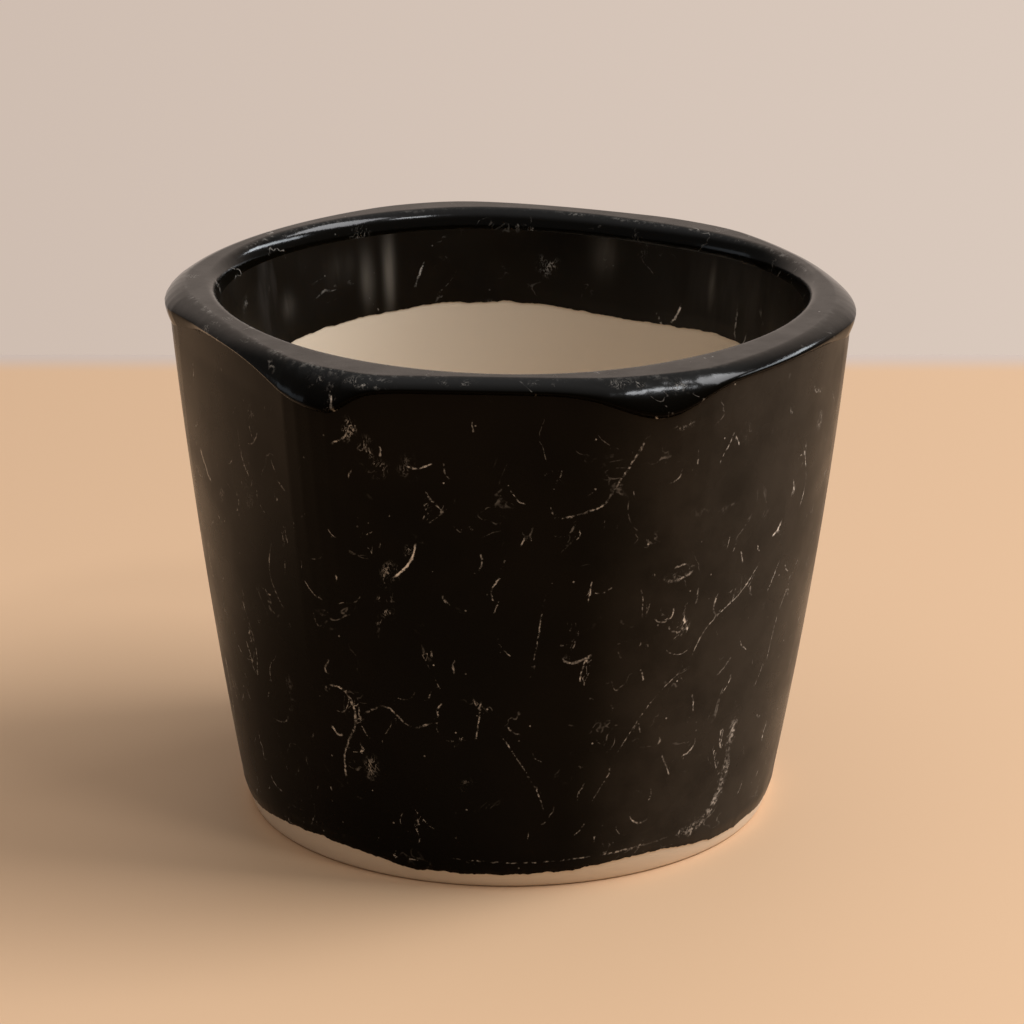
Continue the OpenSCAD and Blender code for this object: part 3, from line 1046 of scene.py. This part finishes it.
class POT_OT_outer_coat(bpy.types.Operator):
    """Adds the coat on the outside wall, from its ragged lower edge to the rim's crease"""

    bl_idname = "pot.outer_coat"
    bl_label = "Outer coat"

    def execute(self, context):
        form, _, d = set_up(context, COAT_COLUMNS)
        look = form.coat
        low = form.coat_edge(d) + ripple(d, 3, 14, 350, 0.35) * RAGGED
        crease = form.top(d) - form.fold(d)
        heights = [low + n * MM for n in (0, 0.1, 0.25, 0.45, 0.7, 1.0, 1.4, 1.9, 2.4)]
        heights += [lerp(heights[-1], crease, u) for u in levels(0, 1, 120)[1:]]
        rows = [(form.clay_outside(d, z) + form.coat_at(z - low), z) for z in heights]
        rows += rows_on(form.clay_outside, d, [lerp(crease, low, u) for u in (0, 0.5, 1)])
        piece = ring(form, "outer_coat_surface", d, rows, COAT_CRISP)
        veins = WALL_VEINS + random_veins(look.seed, 40, 6, 92, FRONT)
        fine = (0.1, 0.24), (0.2, 0.6), (0.5, 1.9)
        veins += random_veins(look.seed + 8, 640, 5, 93, NOWHERE, *fine)
        tufts = WALL_TUFTS + random_tufts(look.seed + 1, 22, 10, 92, FRONT)
        dd, z = put_marks(piece, d, rows, veins, tufts, WALL_DEGREE)
        # Painted light on the right-front faces, which face the key light, strongest low down, and
        # a painted reflection band at the left edge, strongest high up
        right_face = rise(dd, -80, 22) * (1 - rise(dd, 5, 30))
        up = rise(z / MM, 0, 90)
        painted_light = np.maximum(right_face * lerp(1.2, 0.86, up), bell(dd + 174, 22) * lerp(0.3, 1.2, up))
        put_attribute(piece, "haze_and_painted_light", painted_light)
        put_attribute(piece, "thinness", 1 - np.clip((z - low[:, None]) / look.taper, 0, 1))
        settle(piece, "outer_coat", wall_coat_material(look))
        return {"FINISHED"}


class POT_OT_rim_coat(bpy.types.Operator):
    """Adds the coat over the rolled rim, from the crease outside to the throat inside"""

    bl_idname = "pot.rim_coat"
    bl_label = "Rim coat"

    def execute(self, context):
        form, _, d = set_up(context, COAT_COLUMNS)
        look = form.coat
        steps = (8, 18, 12, 14)
        outer = form.rim_section(d, 0, steps)
        inner = form.rim_section(d, look.thickness, (3, 8, 4, 8))[::-1]
        piece = ring(form, "rim_coat_surface", d, outer + inner, COAT_CRISP)
        row = np.arange(len(outer) + len(inner))
        edge_row = steps[0] + steps[1]
        roll_row = edge_row + steps[2]
        wear = rise(row, edge_row - 4, 6) * (1 - rise(row, roll_row - 2, 6))
        scuffed = lerp(0.35, 1, bell(d + 135, 40))[:, None]
        edge = np.exp(-(((row - edge_row + 2) / 2.4) ** 2)) * scuffed
        edge += 0.7 * np.exp(-(((row - roll_row - 3) / 1.2) ** 2))
        facet = rise(d, -166, 14) * (1 - rise(d, -126, 7))
        # Painted shade: the specular is held low over the fold's tucked-in rows and eases up over
        # the outer roll, so the crease reads dark; the facet at the front left keeps most of its
        # gloss
        gloss_and_crease_shade = np.clip((row - steps[0]) / 9, 0.05, 1)
        gloss_and_crease_shade = np.maximum(gloss_and_crease_shade, 0.9 * facet[:, None] * np.clip((row - 2) / 4, 0, 1))
        put_attribute(piece, "gloss_and_crease_shade", gloss_and_crease_shade)
        put_attribute(piece, "wear", np.broadcast_to(wear, gloss_and_crease_shade.shape))
        put_attribute(piece, "edge", edge)
        veins = random_veins(look.seed + 2, 30, 94, 101, NOWHERE)
        tufts = RIM_TUFTS + random_tufts(look.seed + 3, 12, 95, 101, FRONT)
        put_marks(piece, d, outer + inner, veins, tufts, RIM_DEGREE)
        settle(piece, "rim_coat", rim_coat_material(look))
        return {"FINISHED"}


class POT_OT_inner_coat(bpy.types.Operator):
    """Adds the brushed band of coat at the top of the inside, ragged below"""

    bl_idname = "pot.inner_coat"
    bl_label = "Inner coat"

    def execute(self, context):
        form, s, d = set_up(context, COAT_COLUMNS)
        look = form.coat
        high = form.top(d) - s.inner_roll_height
        low = form.band_edge(d) + ripple(d, 5, 12, 350, 0.45) * RAGGED
        shares = [*levels(0, 0.85, 23), 0.9, 0.94, 0.97, 0.99, 1]
        down = [lerp(high, low, u) for u in shares]
        rows = rows_on(form.inside, d, (low, lerp(low, high, 0.5), high))
        rows += [(form.inside(d, z) - form.coat_at(z - low), z) for z in down]
        piece = ring(form, "inner_coat_surface", d, rows, COAT_CRISP)
        veins = random_veins(look.seed + 4, 18, 80, 97, NOWHERE)
        tufts = random_tufts(look.seed + 5, 10, 82, 97, NOWHERE)
        dd, z = put_marks(piece, d, rows, veins, tufts, BAND_DEGREE)
        # Grey smears, painted highlights and painted light on the band's shaded right
        put_attribute(piece, "smear_and_painted_light", tuft_field(dd, z, BAND_SMEARS_AND_PAINTED_LIGHT, BAND_DEGREE))
        settle(piece, "inner_coat", inner_coat_material(look))
        return {"FINISHED"}


# Stage

TABLE_FAR = 0.298
MIDDLE = (0, 0, 0.05)


def table_material(look):
    """Plain pale table top with painted shade darkening it towards the back, its far edge fading
    into the backdrop's colour.
    """
    t = MaterialTree("plain_table", 0.6, 1.3)
    soft = t.noise(6, 2)
    tone = t.mix(t.times(soft, 0.15), look.table, (0.70, 0.46, 0.275))
    depth = t.add("ShaderNodeSeparateXYZ", Vector=t.point).outputs[1]
    # Painted shade: the table darkens towards the back
    tone = t.mix(t.ramp(depth, -0.25, 0.28, 0.0, 0.2), tone, (0.36, 0.24, 0.16))
    tone = t.mix(t.ramp(depth, TABLE_FAR - 0.017, TABLE_FAR), tone, (0.56, 0.46, 0.40))
    t.put(t.shader.inputs["Base Color"], tone)
    return t.material


def set_world(look):
    """Soft surroundings: for the camera a backdrop with painted light and shade, lighter to the
    right and darker to the left, and for light a dim front.
    """
    world = bpy.data.worlds.new("studio")
    world.use_nodes = True
    world.node_tree.nodes.clear()
    t = Tree(world.node_tree)
    direction = t.add("ShaderNodeTexCoord").outputs["Generated"]
    parts = t.add("ShaderNodeSeparateXYZ", Vector=direction).outputs
    behind = t.ramp(parts[1], 0.45, 0.9)
    light = t.mix(behind, (0.12, 0.115, 0.11), look.backdrop)
    above = t.ramp(parts[2], 0.5, 0.97)
    light = t.mix(above, light, (0.72, 0.71, 0.71))
    seen = t.add("ShaderNodeLightPath").outputs["Is Camera Ray"]
    # Painted light and shade: the backdrop the camera sees runs from darker on the left to lighter
    # on the right
    across = t.ramp(parts[0], -0.35, 0.35)
    wall = t.mix(across, (0.59, 0.48, 0.41), (0.73, 0.615, 0.535))
    shown = t.mix(seen, light, wall)
    glow = t.add("ShaderNodeBackground", Color=shown, Strength=1.0)
    t.add("ShaderNodeOutputWorld", Surface=glow.outputs[0])
    bpy.context.scene.world = world


def aim(thing, target):
    """Turns a light or camera so that it looks at the target."""
    toward = Vector(target) - thing.location
    thing.rotation_mode = "QUATERNION"
    thing.rotation_quaternion = toward.to_track_quat("-Z", "Y")


def add_light(name, azimuth, elevation, distance, size, power, tint):
    """A soft light, placed by direction round the pot and looking at its middle."""
    data = bpy.data.lights.new(name, "AREA")
    data.shape = "RECTANGLE"
    data.size, data.size_y = size
    data.energy = power
    data.color = tint
    lamp = bpy.data.objects.new(name, data)
    bpy.context.scene.collection.objects.link(lamp)
    a, e = math.radians(azimuth), math.radians(elevation)
    lamp.location = (
        distance * math.cos(a) * math.cos(e),
        distance * math.sin(a) * math.cos(e),
        distance * math.sin(e),
    )
    aim(lamp, MIDDLE)


class POT_OT_stage(bpy.types.Operator):
    """Adds the table, the soft lights, the surroundings and the camera"""

    bl_idname = "pot.stage"
    bl_label = "Stage"

    def execute(self, context):
        look = context.scene.stage_look
        scene = context.scene
        wide, near, thick = 1.6, -2.2, 0.03
        outline = ((-wide, near), (wide, near), (wide, TABLE_FAR), (-wide, TABLE_FAR))
        corners = [(x, y, z) for z in (-thick, 0) for x, y in outline]
        sides = [(0, 3, 2, 1), (4, 5, 6, 7), (0, 1, 5, 4), (1, 2, 6, 5), (2, 3, 7, 6), (3, 0, 4, 7)]
        table = make_object("table", corners, sides)
        table.data.materials.append(table_material(look))
        set_world(look)
        add_light("key_light", 0, 51, 2.4, (1.3, 0.85), look.key_power, (0.98, 0.98, 1.0))
        add_light("high_window", -46, 50, 2.2, (0.36, 0.2), 5, (0.95, 0.97, 1.0))
        add_light("right_window", 22, 29, 2.0, (1.3, 0.26), 14, (0.9, 0.95, 1.0))
        add_light("left_window", 180, 10, 1.8, (0.9, 0.3), 0.6, (0.8, 0.9, 1.0))
        data = bpy.data.cameras.new("camera")
        data.lens, data.sensor_width = 145, 36
        data.clip_start, data.clip_end = 0.05, 50
        camera = bpy.data.objects.new("camera", data)
        scene.collection.objects.link(camera)
        camera.location = (0.73 * MM, -753 * MM, 310.5 * MM)
        pitch = math.radians(18.64)
        aim(camera, camera.location + Vector((0, math.cos(pitch), -math.sin(pitch))))
        scene.camera = camera
        scene.view_settings.view_transform = "Standard"
        return {"FINISHED"}


class POT_PT_panel(bpy.types.Panel):
    """Buttons for the pieces and the stage"""

    bl_label = "Pot"
    bl_idname = "POT_PT_panel"
    bl_space_type = "VIEW_3D"
    bl_region_type = "UI"
    bl_category = "Pot"

    def draw(self, context):
        for operator in OPERATORS:
            self.layout.operator(operator.bl_idname)
        for group in ("pot_shape", "coat_look", "clay_look", "stage_look"):
            box = self.layout.box()
            settings = getattr(context.scene, group)
            for name in settings.bl_rna.properties.keys():
                if name not in ("rna_type", "name"):
                    box.prop(settings, name)


OPERATORS = (
    POT_OT_stage,
    POT_OT_floor_slab,
    POT_OT_seam_coil,
    POT_OT_wall_courses,
    POT_OT_rim_coil,
    POT_OT_outer_coat,
    POT_OT_rim_coat,
    POT_OT_inner_coat,
)
SETTINGS = {
    "pot_shape": PotShape,
    "coat_look": CoatLook,
    "clay_look": ClayLook,
    "stage_look": StageLook,
}


def register():
    for cls in (*SETTINGS.values(), *OPERATORS, POT_PT_panel):
        bpy.utils.register_class(cls)
    for name, cls in SETTINGS.items():
        setattr(bpy.types.Scene, name, PointerProperty(type=cls))


def unregister():
    for name in SETTINGS:
        delattr(bpy.types.Scene, name)
    for cls in (POT_PT_panel, *reversed(OPERATORS), *reversed(SETTINGS.values())):
        bpy.utils.unregister_class(cls)


def main():
    register()
    for operator in OPERATORS:
        group, name = operator.bl_idname.split(".")
        getattr(getattr(bpy.ops, group), name)()


if __name__ == "__main__":
    main()
